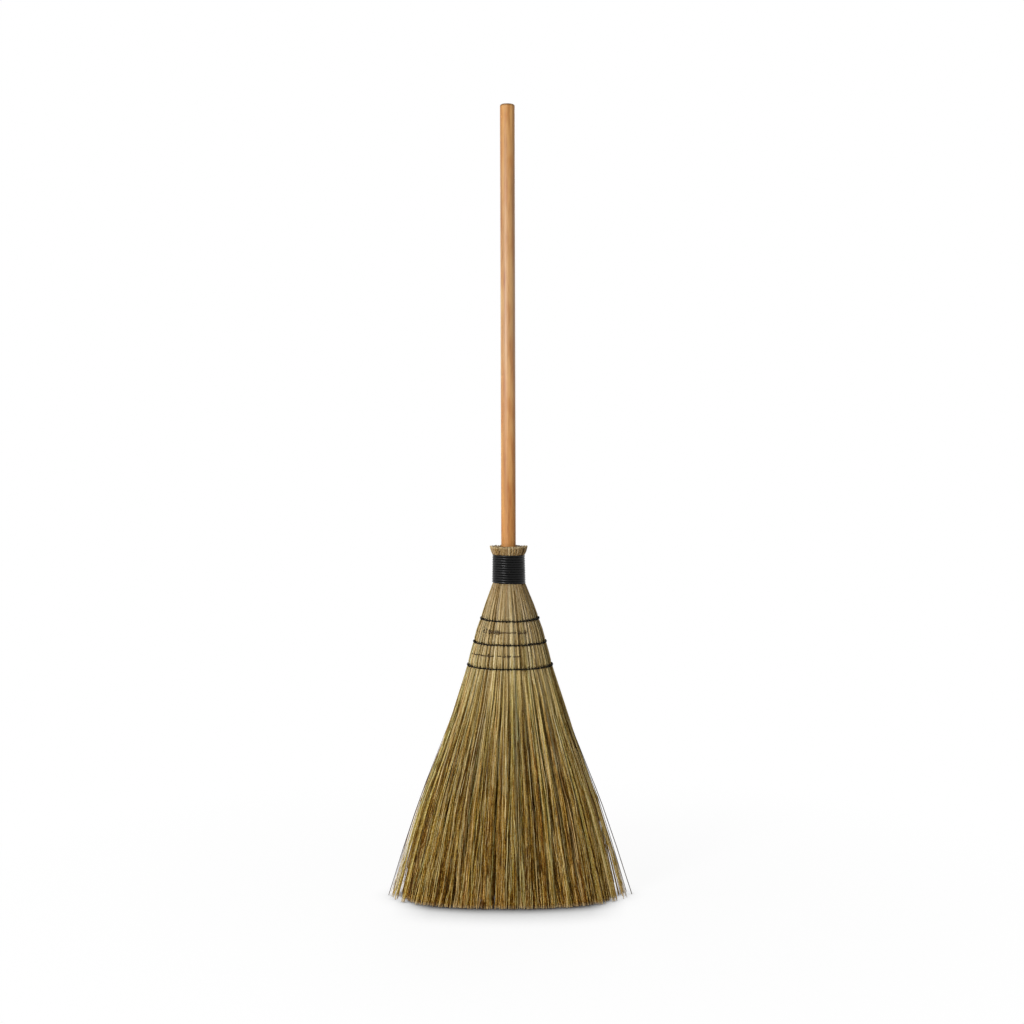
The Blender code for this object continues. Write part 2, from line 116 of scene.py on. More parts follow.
STEM_GIRTH = (
    (0.580, 1.0), (0.567, 0.92), (0.560, 0.78), (0.5225, 0.78), (0.510, 0.95), (0.480, 1.08),
    (0.385, 1.05), (0.250, 0.95), (0.100, 0.85), (0.0, 0.75),
)

# Stations that every fibre passes, from the collar's cut ends to below the last row
STATIONS = (
    0.5790, 0.5745, 0.5700, 0.5660, 0.5630, 0.5590, 0.5420, 0.5230, 0.5185, 0.5155, 0.5110,
    0.5045, 0.4960, 0.4850, 0.4735, 0.4660, 0.4608, 0.4556, 0.4485, 0.4418, 0.4345, 0.4275,
    0.4227, 0.4178, 0.4105, 0.4037, 0.3965, 0.3896, 0.3846, 0.3795, 0.3700,
)
# From there down, in shares of the way to the tip
LOWER_SHARES = (
    0.05, 0.10, 0.155, 0.21, 0.265, 0.32, 0.375, 0.43, 0.485, 0.54, 0.595, 0.65, 0.705, 0.76,
    0.81, 0.86, 0.905, 0.945, 0.975, 1.0,
)
# Hidden starts of the finer fibres: a station's number, and the share that starts there
STARTS = ((6, 0.14), (10, 0.12), (14, 0.14), (18, 0.18), (23, 0.20), (28, 0.22))
START_DEPTH = 0.0048
EMERGE_LENGTH = 0.055

# Fibres of the outer bundles. Those per metre are counted round the floor outline.
OUTER_BUNDLES = 26
STEMS_PER_BUNDLE = 8
STEM_RADIUS = 0.00064
STEM_SIDES = 6
FIBRES_PER_METRE = 5600
FIBRE_RADIUS = 0.00045
FIBRE_RADIUS_SPREAD = 0.25
FIBRE_SIDES = 4
BRANCHES_PER_METRE = 4200
BRANCH_RADIUS = 0.00034
COARSE_PER_METRE = 420
COARSE_RADIUS = 0.00066
LOBE_ROUNDNESS = 0.92
UNEVENNESS = 0.0006
# How far the loose fibres stray, and their bends: size, least and most radians per metre
WANDER = 0.0046
SIDE_BENDS = ((0.0024, 12, 40), (0.0014, 40, 95), (0.0006, 95, 170))
DEPTH_BENDS = ((0.0026, 15, 45), (0.0012, 45, 110))
# Fibres inside the sweep
INNER_BUNDLES = 8
INNER_FIBRES = 170

# Tones: 0 is dark and 1 is pale
TONE_SPREAD = 0.24
COARSE_TONE_SPREAD = 0.34
# The last of these darkens the deeper fibres: painted shade under the outer ones
STEM_TONE, BRANCH_TONE, DEEP_PAINTED_SHADE = 0.05, 0.06, -0.1
BUNDLE_TONE_SPREAD = 0.045
BUNDLE_HUE_SPREAD = 0.13
HUE_SPREAD = 0.7
# What is added for bundles that are darker or paler than the rest. Bundles 25 and 26 at the right
# end are made paler as painted light, where the lamps leave that end darker.
BUNDLE_TONES_AND_PAINTED_LIGHT = {
    14: 0.03, 16: -0.06, 17: -0.10, 19: 0.03, 20: -0.03, 22: 0.04, 23: -0.03, 24: -0.03, 25: 0.06,
    26: 0.07,
}

# Clumps that the loose fibres gather in, by the distance round the floor outline
CLUMP_LENGTHS = np.geomspace(0.0042, 0.034, 10)
CLUMP_PULL = 0.36
CLUMP_DEPTH = 0.135
CLUMP_NARROWNESS = 3.0
CLUMP_LEVEL = 0.09
CLUMP_DRIFT = 1.8
CLUMP_BEND, CLUMP_BEND_RATE = 0.6, 5
CLUMP_TONE, CLUMP_HUE = 0.08, 0.22

# Borders between the front bundles, as the sine of the angle from the front, left to right
FRONT_BORDERS = (
    -0.955, -0.84, -0.72, -0.50, -0.325, -0.03, 0.18, 0.343, 0.56, 0.735, 0.885, 0.965,
)
# Bundles that show as two, and where they part
SPLIT_BUNDLES = {
    15: 0.5, 16: 0.45, 17: 0.5, 18: 0.55, 19: 0.46, 21: 0.5, 22: 0.55, 23: 0.45, 1: 0.5, 3: 0.55,
    5: 0.45, 7: 0.5, 9: 0.55, 12: 0.5, 25: 0.5,
}

# Single fibres that stand out in each bundle, and how many more at the sweep's two ends
STRAYS, STRAYS_AT_ENDS = 3, 4
# Wisps that stand out at those ends: turn in degrees, reach, fibres, tone, girth
WISPS = (
    (184, 0.0088, 15, 0.60, 1.0), (176, 0.0094, 12, 0.55, 1.0), (207, 0.0095, 12, 0.62, 1.0),
    (219, 0.0050, 10, 0.62, 1.0), (150, 0.0090, 10, 0.62, 1.0), (181, 0.0150, 3, 0.45, 1.2),
    (186, 0.0232, 1, 0.02, 1.6), (193, 0.0175, 2, 0.75, 1.2), (178, 0.0165, 2, 0.30, 1.2),
    (199, 0.0150, 2, 0.55, 1.2), (356, 0.0068, 9, 0.70, 1.0), (2, 0.0152, 8, 0.68, 1.0),
    (335, 0.0098, 12, 0.62, 1.0), (358, 0.0112, 7, 0.75, 1.0), (322, 0.0050, 10, 0.62, 1.0),
    (30, 0.0090, 10, 0.62, 1.0), (359, 0.0285, 1, 0.15, 1.5), (5, 0.0208, 2, 0.40, 1.2),
    (352, 0.0180, 2, 0.75, 1.2), (347, 0.0205, 1, 0.30, 1.2), (340, 0.0168, 1, 0.60, 1.2),
)
WISP_TONE_SPREAD = 0.16

WINDING_TURNS = 12
WINDING_RADIUS = 0.00206
WINDING_FLATNESS = 0.78
PLIES, PLY_LENGTH = 3, 0.011
TWIST_LENGTH = 0.0085
STITCH_RADIUS = 0.00046
STITCH_SPACING = 0.0059
THIN_CORD_RADIUS = 0.00085
THIN_SPACING = 0.0042
# Paths of stitches: along the row, up and out
STITCH_PATH = 0.001 * np.array([
    (-0.85, 1.9, -2.4), (-0.80, 1.9, -0.4), (-0.55, 1.35, 0.90), (0, 0, 1.45),
    (0.55, -1.35, 0.90), (0.80, -1.9, -0.4), (0.85, -1.9, -2.4),
])
THIN_STITCH_PATH = 0.001 * np.array([
    (0, 3.6, -3.0), (0, 3.3, -0.5), (0, 1.8, 0.45), (0, 0, 0.6), (0, -1.8, 0.45),
    (0, -3.3, -0.5), (0, -3.6, -3.0),
])
# Share of each thin row that shows, by turn in degrees
THIN_ROW_SHOWN = (
    (
        (0, 0), (30, 0), (70, 0.9), (110, 0.9), (150, 0), (226, 0), (240, 0.8), (252, 1), (278, 1),
        (292, 0.5), (306, 0),
    ), (
        (0, 0), (50, 0.4), (80, 0.8), (130, 0.7), (150, 0), (180, 0.1), (200, 0.8), (275, 0.65),
        (300, 0.25), (325, 0),
    ),
)
# Upright stitches of each thin row, in degrees
THIN_ROW_STITCHES = (
    (221, 226, 232, 237, 242, 247, 253, 287, 296, 62, 75, 88, 101), (238, 262, 268, 80, 110, 118),
)

# Tubes on their maps: margins beside them and at their ends, and the place and half size of
# the cut ends. More tubes than fit in one row are laid in some.
SIDE_MARGIN, END_MARGIN = 0.12, 0.03
CAP_PLACE, CAP_WIDTH, CAP_HEIGHT = 0.012, 0.35, 0.01
MAP_ROWS, MOST_IN_ONE_ROW = 4, 60

# Camera, as the photograph was taken
CAMERA_PLACE = (0.0059, -2.7, 0.758)
CAMERA_ROLL = math.radians(-0.15)
CAMERA_PITCH = math.radians(2.6)
CAMERA_LENS = 57.78
CAMERA_SENSOR = 36.0

# Lamps: place, target, width, height if not round, power, and whether highlights show them
LAMPS = {
    "key_lamp": ((-1.97, -2.79, 1.35), (0, 0, 0.7), 0.7, 2.0, 124, True),
    "side_lamp": ((-2.7, -1.1, 0.6), (0, 0, 0.15), 1.6, None, 15.5, True),
    "fill_lamp": ((2.6, -2.0, 0.9), (0, 0, 0.2), 2.4, None, 15.2, False),
    "back_lamp": ((0.6, 2.8, 2.4), (0, 0, 0.5), 2.0, None, 42, True),
}
WORLD_LIGHT = 0.25
FLOOR_HALF_SIZE = 30.0
# The floor turns plain white between these distances
FLOOR_FADE = (0.25, 1.0)
# Painted contact shadow on the floor, which darkens its white glow by ambient occlusion: reach, how
# open the view is where it starts and where it is darkest, how dark, and whether it lies only
# before the broom
FLOOR_PAINTED_SHADOWS = (
    (0.012, 0.95, 0.58, 0.32, False), (0.045, 1.0, 0.50, 0.74, False),
    (0.034, 0.93, 0.68, 0.22, True), (0.110, 1.0, 0.42, 0.25, True),
)


# General helpers

def srgb(red, green, blue):
    """A colour as screens number it, from 0 to 255, as the shaders' linear values."""
    values = (c / 255 for c in (red, green, blue))
    return tuple(c / 12.92 if c <= 0.04045 else ((c + 0.055) / 1.055) ** 2.4 for c in values)


def by_height(table, height, column=1):
    """The table's value at each height, between its rows in straight lines."""
    rows = sorted(table)
    return np.interp(height, [row[0] for row in rows], [row[column] for row in rows])


def unit(vectors):
    return vectors / np.linalg.norm(vectors, axis=-1, keepdims=True)


def head_points(turn, depth, height):
    """Points at a depth under the head's outside."""
    square = by_height(SQUARENESS, height)
    across, out = np.cos(turn), np.sin(turn)
    bulge = (np.abs(across) ** square + np.abs(out) ** square) ** (-1 / square)
    wide = (by_height(OUTLINE, height, 1) - depth) * bulge
    deep = (by_height(OUTLINE, height, 2) - depth) * bulge
    return np.stack([by_height(LEAN, height) + wide * across, deep * out, height], -1)


def outward_at(points):
    """Level directions away from the head's middle line."""
    wide = by_height(OUTLINE, points[..., 2], 1)
    deep = by_height(OUTLINE, points[..., 2], 2)
    right = points[..., 0] - by_height(LEAN, points[..., 2])
    return unit(np.stack([right / wide**2, points[..., 1] / deep**2, 0 * wide], -1))


def lengths_along(points):
    """How far along a path each of its points lies."""
    steps = np.linalg.norm(np.diff(points, axis=0), axis=1)
    return np.concatenate([[0], np.cumsum(steps)])


def round_lengths(height):
    """Turns from before -180 to past 540 degrees, and how far round the outside each one lies."""
    turns = np.linspace(-math.pi, FULL_TURN + math.pi, 5761)
    lengths = lengths_along(head_points(turns, 0.0, np.full(len(turns), height)))
    return turns, lengths - np.interp(0, turns, lengths)


FLOOR_TURNS, FLOOR_LENGTHS = round_lengths(0.0)


def to_length(turn):
    """How far round the floor outline a turn lies."""
    return np.interp(turn, FLOOR_TURNS, FLOOR_LENGTHS)


def to_turn(length):
    return np.interp(length, FLOOR_LENGTHS, FLOOR_TURNS)


PERIMETER = to_length(FULL_TURN)


def side_by_side(*values):
    """Rows with one of each of the values, which are repeated where they need it."""
    return np.stack(np.broadcast_arrays(*values), -1).reshape(-1, len(values))


class Tubes:
    """Collects tubes for one mesh. Each has its tone and hue for the material."""

    def __init__(self):
        self.points, self.faces, self.maps, self.strands, self.smooth = [], [], [], [], []
        self.vertices = self.columns = 0

    def add(self, paths, radii, outward, sides, tone=0.5, hue=0.5, spin=0.0, flat=1.0,
            closed=False, columns=1):
        """paths has a row of points for each tube, and radii one radius for each point. Each
        tube takes that many columns of the map."""
        count, steps, _ = paths.shape
        if closed:
            ahead = unit(np.roll(paths, -1, 1) - np.roll(paths, 1, 1))
        else:
            ahead = unit(np.gradient(paths, axis=1))
        side = unit(np.cross(ahead, outward))
        up = np.cross(side, ahead)
        turn = FULL_TURN * np.arange(sides) / sides
        angle = np.reshape(spin, (-1, 1, 1)) + turn
        angle = np.broadcast_to(angle, (count, steps, sides))[..., None]
        flat = np.reshape(flat, (-1, 1, 1, 1))
        radii = np.broadcast_to(radii, (count, steps))[..., None, None]
        rings = paths[:, :, None] + radii * (
            np.cos(angle) * side[:, :, None] + flat * np.sin(angle) * up[:, :, None]
        )
        number = self.vertices + np.arange(count * steps * sides).reshape(count, steps, sides)
        self.points.append(rings.reshape(-1, 3))

        # Sides
        here, beside = number, np.roll(number, -1, 2)
        if closed:
            below, below_beside = np.roll(here, -1, 1), np.roll(beside, -1, 1)
        else:
            below, below_beside = here[:, 1:], beside[:, 1:]
            here, beside = here[:, :-1], beside[:, :-1]
        quads = np.stack([here, below, below_beside, beside], -1)
        self.faces.append(quads.reshape(-1, 4))
        self.smooth.append(np.ones(len(self.faces[-1]), bool))
        rows = quads.shape[1]
        per_column = math.ceil(rows / columns)
        row = np.arange(rows)
        across = SIDE_MARGIN + (1 - 2 * SIDE_MARGIN) * np.arange(sides + 1) / sides
        first = self.columns + columns * np.arange(count)
        along = (row % per_column)[:, None] + np.array([0, 1, 1, 0])
        along = END_MARGIN + (1 - 2 * END_MARGIN) * along / per_column
        self.maps.append(side_by_side(
            (first[:, None] + row // per_column)[:, :, None, None],
            across[np.arange(sides)[:, None] + np.array([0, 0, 1, 1])], along[:, None],
        ))

        # Cut ends
        if not closed:
            ends = ((number[:, 0], 0, CAP_PLACE), (number[:, -1, ::-1], columns - 1, 1 - CAP_PLACE))
            for ring, column, middle in ends:
                self.faces.append(ring)
                self.smooth.append(np.zeros(count, bool))
                self.maps.append(side_by_side(
                    first[:, None] + column, 0.5 + CAP_WIDTH * np.cos(turn),
                    middle + CAP_HEIGHT * np.sin(turn),
                ))

        self.strands.append(side_by_side(
            np.reshape(tone, (-1, 1, 1)), np.reshape(hue, (-1, 1, 1)),
            np.linspace(0, 1, steps)[:, None], np.ones((count, steps, sides)),
        ))
        self.vertices += count * steps * sides
        self.columns += columns * count

    def map_spots(self):
        """Places on the map, with its columns in one row or, when they are many, in more."""
        column, across, along = np.concatenate(self.maps).T
        rows = MAP_ROWS if self.columns > MOST_IN_ONE_ROW else 1
        per_row = math.ceil(self.columns / rows)
        right = (column % per_row + across) / per_row
        return np.stack([right, (column // per_row + along) / rows], -1)

    def build(self, name, material):
        mesh = bpy.data.meshes.new(name)
        points = np.concatenate(self.points)
        mesh.vertices.add(len(points))
        mesh.vertices.foreach_set("co", points.ravel())
        corners = np.concatenate([faces.ravel() for faces in self.faces])
        counts = np.concatenate([np.full(len(faces), faces.shape[1]) for faces in self.faces])
        mesh.loops.add(len(corners))
        mesh.loops.foreach_set("vertex_index", corners.astype(np.int32))
        mesh.polygons.add(len(counts))
        starts = np.concatenate([[0], np.cumsum(counts)[:-1]])
        mesh.polygons.foreach_set("loop_start", starts.astype(np.int32))
        mesh.polygons.foreach_set("use_smooth", np.concatenate(self.smooth))
        layer = mesh.uv_layers.new(name="OFBake")
        layer.uv.foreach_set("vector", self.map_spots().astype(np.float32).ravel())
        colours = mesh.attributes.new("strand", "FLOAT_COLOR", "POINT")
        strands = np.concatenate(self.strands).astype(np.float32)
        colours.data.foreach_set("color", strands.ravel())
        mesh.materials.append(material)
        mesh.update(calc_edges=True)
        mesh.validate()
        return place_in_scene(name, mesh)


def place_in_scene(name, data):
    item = bpy.data.objects.new(name, data)
    bpy.context.scene.collection.objects.link(item)
    return item


# Materials

class Nodes:
    """Short ways to add nodes to a material or the world. Colours come without their alpha."""

    def __init__(self, owner, shader="Principled BSDF", output="Material Output"):
        owner.use_nodes = True
        self.owner, self.tree = owner, owner.node_tree
        self.shader, self.output = (self.tree.nodes[name] for name in (shader, output))

    def feed(self, node, inputs):
        """Links a node's inputs to sockets, or sets those that get a plain value."""
        for key, value in inputs.items():
            if isinstance(value, bpy.types.NodeSocket):
                self.tree.links.new(value, node.inputs[key])
            else:
                value = (*value, 1.0) if isinstance(value, tuple) else value
                node.inputs[key].default_value = value

    def node(self, kind, inputs=None, **values):
        made = self.tree.nodes.new(kind)
        for name, value in values.items():
            setattr(made, name, value)
        self.feed(made, inputs or {})
        return made

    def place(self):
        """The place in the object's own metres."""
        return self.node("ShaderNodeTexCoord").outputs["Object"]

    def axes(self):
        return self.node("ShaderNodeSeparateXYZ", {0: self.place()}).outputs

    def noise(self, scale, detail=3.0, stretch=(1, 1, 1)):
        """Noise with scale cycles per metre times the stretch."""
        place = self.node("ShaderNodeMapping", {"Vector": self.place(), "Scale": list(stretch)})
        inputs = {"Vector": place.outputs[0], "Scale": scale, "Detail": detail}
        return self.node("ShaderNodeTexNoise", inputs).outputs["Fac"]

    def ramp(self, factor, stops):
        """Colours or greys by the factor."""
        made = self.node("ShaderNodeValToRGB", {0: factor})
        elements = made.color_ramp.elements
        while len(elements) < len(stops):
            elements.new(1.0)
        for element, (position, colour) in zip(elements, stops):
            element.position = position
            element.color = (*colour, 1.0) if isinstance(colour, tuple) else (*[colour] * 3, 1.0)
        return made.outputs[0]

    def mix(self, kind, factor, first, second):
        """Two colours blended. All but the kind can be sockets or plain values."""
        inputs = {0: factor, 6: first, 7: second}
        return self.node("ShaderNodeMix", inputs, data_type="RGBA", blend_type=kind).outputs[2]

    def math(self, kind, first, second=0.0):
        return self.node("ShaderNodeMath", {0: first, 1: second}, operation=kind).outputs[0]

    def span(self, value, low, high, to_low=0.0, to_high=1.0):
        """to_low at low and to_high at high, in a straight line between them."""
        inputs = {0: value, 1: low, 2: high, 3: to_low, 4: to_high}
        return self.node("ShaderNodeMapRange", inputs).outputs[0]

    def bump(self, height, strength, distance):
        inputs = {"Height": height, "Strength": strength, "Distance": distance}
        self.feed(self.shader, {"Normal": self.node("ShaderNodeBump", inputs).outputs[0]})

    def finish(self, colour, roughness, specular=0.5):
        inputs = {"Base Color": colour, "Roughness": roughness, "Specular IOR Level": specular}
        self.feed(self.shader, inputs)
        return self.owner

    def seen_directly(self):
        """1 for the rays that see something, in mirrors and glass too, and 0 for its light."""
        path = self.node("ShaderNodeLightPath").outputs
        seen = self.math("MAXIMUM", path["Is Camera Ray"], path["Is Glossy Ray"])
        return self.math("MAXIMUM", seen, path["Is Transmission Ray"])

    def show(self, factor, first, second):
        """Shows the first shader at a factor of 0 and the second at 1."""
        inputs = {0: factor, 1: first.outputs[0], 2: second.outputs[0]}
        self.feed(self.output, {"Surface": self.node("ShaderNodeMixShader", inputs).outputs[0]})


def new_material(name):
    return Nodes(bpy.data.materials.new(name))


def fibre_material(name, shade=1.0):
    """Dried plant fibre. A fibre's tone picks its place in the ramps, and its hue the tint.
    shade darkens it all over: painted shade for fibres that lie deep in the broom.
    """
    n = new_material(name)
    strand = n.node("ShaderNodeAttribute", attribute_name="strand")
    parts = n.node("ShaderNodeSeparateColor", {0: strand.outputs["Color"]})
    own_tone, hue, along = parts.outputs[:3]
    height = n.axes()["Z"]

    # Mottled and flecked, with more contrast in the loose part than in the tied one
    mottle = n.noise(28, 3.0, stretch=(10, 10, 1))
    tone = n.math("ADD", own_tone, n.span(mottle, 0.25, 0.75, -0.16, 0.16))
    fleck = n.noise(380, 2.0, stretch=(2, 2, 1))
    tone = n.math("ADD", tone, n.span(fleck, 0.3, 0.7, -0.25, 0.25))
    contrast = n.ramp(n.span(height, 0.0, HEAD_TOP), (
        (0.0, 0.76), (0.40, 0.65), (0.58, 0.41), (0.86, 0.31), (0.98, 0.7),
    ))
    contrast = n.math("MULTIPLY", contrast, 2.0)
    tone = n.math("ADD", n.math("MULTIPLY", n.math("SUBTRACT", tone, 0.5), contrast), 0.5)

    # Tan in the tied part and browner below it
    upper = n.ramp(tone, (
        (0.0, srgb(91, 66, 27)), (0.2, srgb(138, 113, 67)), (0.45, srgb(176, 154, 109)),
        (0.7, srgb(193, 175, 139)), (0.88, srgb(203, 189, 162)), (1.0, srgb(211, 203, 181)),
    ))
    lower = n.ramp(tone, (
        (0.0, srgb(63, 36, 1)), (0.2, srgb(114, 79, 11)), (0.45, srgb(160, 127, 56)),
        (0.7, srgb(182, 155, 97)), (0.88, srgb(196, 174, 131)), (1.0, srgb(209, 194, 161)),
    ))
    colour = n.mix("MIX", n.span(height, 0.43, 0.16), upper, lower)
    tint = n.ramp(hue, (
        (0.0, (0.84, 1.0, 0.80)), (0.35, (0.97, 1.0, 0.90)), (0.65, (1.0, 0.97, 0.90)),
        (1.0, (1.0, 0.78, 0.54)),
    ))
    colour = n.mix("MULTIPLY", n.span(height, 0.43, 0.28, 0.4, 1.0), colour, tint)
    level = n.ramp(n.span(height, 0.0, 0.52), (
        (0.0, (0.99, 0.83, 0.52)), (0.06, (0.97, 0.88, 0.65)), (0.46, (0.95, 0.91, 0.75)),
        (0.63, (0.97, 0.98, 0.85)), (0.75, (0.94, 0.95, 0.87)), (0.86, (0.85, 0.84, 0.81)),
        (1.0, (0.69, 0.69, 0.70)),
    ))
    colour = n.mix("MULTIPLY", 1.0, colour, level)
    collar = n.span(height, ROW_HEIGHTS[0], NECK_TOP)
    colour = n.mix("MULTIPLY", collar, colour, srgb(229, 210, 185))

    # Paler where cut, at the top and at the tips
    cut = n.span(along, 0.0, 0.012, 0.55, 0.0)
    colour = n.mix("MIX", cut, colour, srgb(206, 188, 146))
    tip = n.math("MULTIPLY", n.span(height, 0.0065, 0.0015, 0.0, 1.1), own_tone)
    colour = n.mix("MIX", tip, colour, srgb(206, 184, 142))
    # Painted shade: fibres inside the sweep are darkened all over
    if shade != 1.0:
        colour = n.mix("MULTIPLY", 1.0, colour, (shade, shade, shade))
    n.bump(n.noise(900, 2.0, stretch=(1, 1, 0.1)), 0.25, 0.0002)
    return n.finish(colour, n.span(mottle, 0.3, 0.7, 0.56, 0.72), 0.08)


def cord_material(name, dark, light, roughness, specular):
    """A twisted cord with fine fuzz, worn paler and rougher in places."""
    n = new_material(name)
    fuzz = n.noise(700, 3.0)
    wear = n.noise(90, 2.0)
    colour = n.mix("MIX", n.span(fuzz, 0.35, 0.7), dark, light)
    colour = n.mix("MIX", n.span(wear, 0.45, 0.8, 0.0, 0.5), colour, light)
    n.bump(fuzz, 0.35, 0.0003)
    return n.finish(colour, n.span(wear, 0.3, 0.7, roughness - 0.06, roughness + 0.08), specular)


def wood_material():
    """Pale, fine-grained wood under a thin clear finish, with the grain along the handle."""
    n = new_material("pale_wood")
    streaks = n.noise(120, 4.0, stretch=(1, 1, 0.035))
    broad = n.noise(26, 3.0, stretch=(1, 1, 0.09))
    figure = n.noise(95, 4.0, stretch=(1, 1, 0.20))
    pores = n.noise(900, 2.0, stretch=(1, 1, 0.03))
    colour = n.ramp(n.span(streaks, 0.3, 0.7), (
        (0.0, srgb(140, 97, 52)), (0.5, srgb(171, 130, 82)), (1.0, srgb(192, 154, 107)),
    ))
    for share, shade in (
        (n.span(broad, 0.4, 0.75, 0.0, 0.8), srgb(242, 222, 196)),
        (n.span(figure, 0.46, 0.68, 0.0, 0.9), srgb(235, 209, 178)),
        (n.span(pores, 0.56, 0.72, 0.0, 0.6), srgb(196, 164, 128)),
    ):
        colour = n.mix("MULTIPLY", share, colour, shade)
    height = n.axes()["Z"]
    up = n.span(height, 0.55, 1.30)
    aged = n.ramp(up, (
        (0.0, (1.00, 0.79, 0.48)), (0.25, (0.99, 0.87, 0.66)), (0.55, (0.96, 1.00, 0.96)),
        (0.75, (0.98, 0.97, 0.91)), (1.0, (0.97, 0.88, 0.67)),
    ))
    colour = n.mix("MULTIPLY", 1.0, colour, aged)
    end = n.span(height, HANDLE_TOP - 0.0045, HANDLE_TOP - 0.0012)
    colour = n.mix("MULTIPLY", end, colour, (0.40, 0.36, 0.28))
    # The finish is worn off at both ends
    finish = n.ramp(up, ((0.0, 0.03), (0.15, 0.08), (0.50, 0.86), (0.80, 0.50), (1.0, 0.12)))
    n.feed(n.shader, {"Coat Weight": finish, "Coat Roughness": 0.54})
    n.bump(n.math("ADD", streaks, pores), 0.16, 0.0003)
    smoother = n.math("MULTIPLY", finish, -0.2)
    return n.finish(colour, n.math("ADD", n.span(streaks, 0.3, 0.7, 0.56, 0.66), smoother), 0.35)


def steel_material():
    n = new_material("galvanised_steel")
    clouds = n.noise(260, 4.0)
    colour = n.ramp(clouds, ((0.3, srgb(150, 152, 154)), (0.7, srgb(186, 188, 190))))
    n.feed(n.shader, {"Metallic": 1.0})
    n.bump(clouds, 0.2, 0.0002)
    return n.finish(colour, n.span(clouds, 0.3, 0.7, 0.35, 0.5))


# Fibres

def bundle_borders():
    """The turn at which each bundle begins, and last the end of the final one."""
    rng = np.random.default_rng(OUTER_SEED)
    borders = FULL_TURN * np.arange(OUTER_BUNDLES + 1) / OUTER_BUNDLES
    for sine in FRONT_BORDERS:
        turn = FULL_TURN + FRONT + math.asin(sine)
        borders[np.abs(borders - turn).argmin()] = turn
    back, spread = slice(1, OUTER_BUNDLES // 2), math.radians(2.2)
    borders[back] += rng.uniform(-1, 1, len(borders[back])) * spread
    return borders


class Clumps:
    """Waves round the sweep that draw the loose fibres together and sink those between."""

    def __init__(self):
        rng = np.random.default_rng(CLUMP_SEED)
        self.lengths = PERIMETER / np.round(PERIMETER / CLUMP_LENGTHS)
        count = len(self.lengths)
        self.starts = rng.uniform(0, FULL_TURN, count)
        self.drifts = rng.uniform(-1, 1, count) * CLUMP_DRIFT
        self.bends = rng.uniform(0, FULL_TURN, count)
        self.hues = rng.normal(0, 1, count)

    def angles(self, along, fall):
        along, fall = along[..., None], fall[..., None]
        bend = CLUMP_BEND * fall * np.sin(CLUMP_BEND_RATE * fall + self.bends)
        return FULL_TURN * along / self.lengths + self.starts + self.drifts * fall + bend

    def shift(self, along, height, fall):
        """How far fibres move sideways and inwards."""
        angle = self.angles(along, fall)
        aside = -(np.cos(angle) * self.lengths).sum(-1) * CLUMP_PULL / FULL_TURN
        groove = np.exp(CLUMP_NARROWNESS * (np.sin(angle) - 1)) - CLUMP_LEVEL
        sunk = (groove * self.lengths).sum(-1) * CLUMP_DEPTH
        return aside * by_height(CLUMPING, height), sunk * by_height(CLUMP_SINKING, height)

    def tint(self, along):
        """A slow change of hue or tone round the sweep."""
        angle = self.angles(along, 0 * along)
        share = self.hues * np.sqrt(self.lengths / self.lengths.sum())
        return (np.sin(angle) * share).sum(-1)


def waves(rng, height, size, low, high):
    """A gentle bend of each fibre's own, in metres."""
    one_each = (len(height), 1)
    rate = rng.uniform(low, high, one_each)
    start = rng.uniform(0, FULL_TURN, one_each)
    return size * rng.uniform(0.2, 1.0, one_each) * np.sin(height * rate + start)


def tip_heights(rng, count):
    """Most tips stand on the floor, and a few are short or broken off higher."""
    gap, spread = 0.0003, 0.0006
    tips = gap + np.abs(rng.normal(0, spread, count))
    some = rng.uniform(size=count)
    for share, low, high in ((0.10, 0.0005, 0.0028), (0.015, 0.003, 0.018)):
        tips += np.where(some < share, rng.uniform(low, high, count), 0)
    return tips


def levels_between(top, bottom, shares):
    """Heights of fibres from their tops to their bottoms."""
    return top[:, None] + (bottom - top)[:, None] * shares


def fibre_lines(rng, clumps, share, cuts, span, depth_share, first=0):
    """Turn, depth and height along the fibres of one bundle. share is each one's place across
    it, cuts the edges of the lobes that the bundle shows as, span its turns, depth_share how
    deep each fibre lies and first the station where they start."""
    count = len(share)
    tips = tip_heights(rng, count)
    heights = np.array(STATIONS[first:])
    lower = heights[-1] + (tips[:, None] - heights[-1]) * np.array(LOWER_SHARES)
    height = np.concatenate([np.broadcast_to(heights, (count, len(heights))), lower], 1)
    fall = (1 - height / LAST_ROW).clip(0, 1)
    loose = by_height(LOOSENESS, height)

    # Lobes
    lobe = np.searchsorted(cuts, share, side="right") - 1
    lobe = lobe.clip(0, len(cuts) - 2)
    begin, end = np.array(cuts)[lobe], np.array(cuts)[lobe + 1]
    place = 2 * (share - begin) / (end - begin) - 1
    middle = span[0] + (span[1] - span[0]) * (begin + end) / 2
    half = (span[1] - span[0]) * (end - begin) / 2
    turn = middle[:, None] + half[:, None] * place[:, None] * by_height(LOBE_WIDTH, height)

    # Clumps, and each fibre's own way
    along = to_length(turn) + rng.normal(0, WANDER, (count, 1)) * loose
    aside, sunk = clumps.shift(along, height, fall)
    bends = sum(waves(rng, height, *bend) for bend in SIDE_BENDS)
    turn = to_turn(along + aside + loose * bends)

    depth = by_height(SHELL_THICKNESS, height) * depth_share[:, None] + sunk
    hollow = (1 - np.sqrt(1 - LOBE_ROUNDNESS * place**2))[:, None]
    depth = depth + by_height(LOBE_DEPTH, height) * hollow
    if first:
        begun = (heights[0] - height) / EMERGE_LENGTH
        depth = np.maximum(depth, START_DEPTH * (1 - begun).clip(0, 1))
    depth = depth + rng.uniform(0, UNEVENNESS, count)[:, None]
    bends = sum(waves(rng, height, *bend) for bend in DEPTH_BENDS)
    return turn, depth + loose * bends, height


